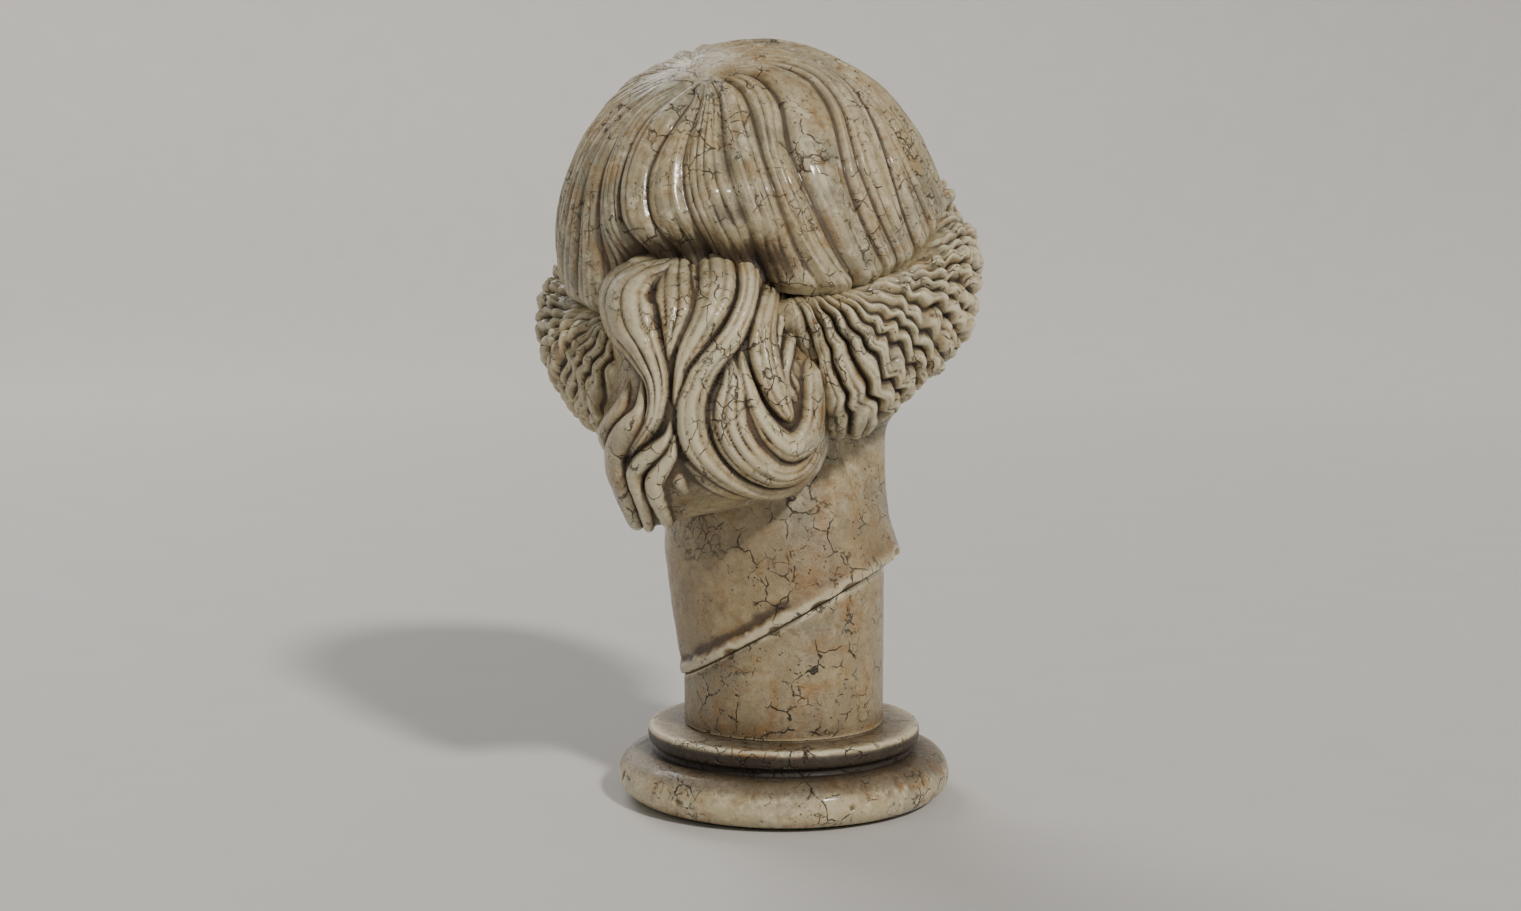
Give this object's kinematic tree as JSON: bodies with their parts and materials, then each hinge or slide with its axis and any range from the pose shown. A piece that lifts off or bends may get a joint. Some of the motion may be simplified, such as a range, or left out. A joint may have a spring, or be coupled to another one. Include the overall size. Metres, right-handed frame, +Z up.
{
  "type": "marble bust",
  "caption": "Antique marble head of a goddess with combed, waved and knotted hair, its neck cut obliquely and pinned on a round marble support and moulded socle.",
  "frame": {"origin": "centre of the round resting face, on the axis of the socle, neck support and tie rod", "axes": "+Z up, the face looks along -Y and the head's left side is towards +X"},
  "size_m": [0.2232, 0.2412, 0.3753],
  "materials": {
    "carved_marble": "worn polish, brown in the hollows",
    "shaft_marble": "worn polish, ochre stains and cracks",
    "socle_marble": "worn polish, brown in the mouldings",
    "mortar": "matte, gritty",
    "resin": "satin",
    "stainless": "brushed",
    "felt": "matte felt"
  },
  "bodies": {
    "root": {"head": "carved_marble", "neck_bed": "mortar", "neck_dowels": "stainless", "rod_sleeve": "resin", "shaft": "shaft_marble", "shaft_bed": "mortar", "shaft_dowels": "stainless", "socle": "socle_marble", "tie_rod": "stainless", "rod_washer": "stainless", "lock_washer": "stainless", "rod_nut": "stainless", "felt_ring": "felt"}
  },
  "joints": []
}
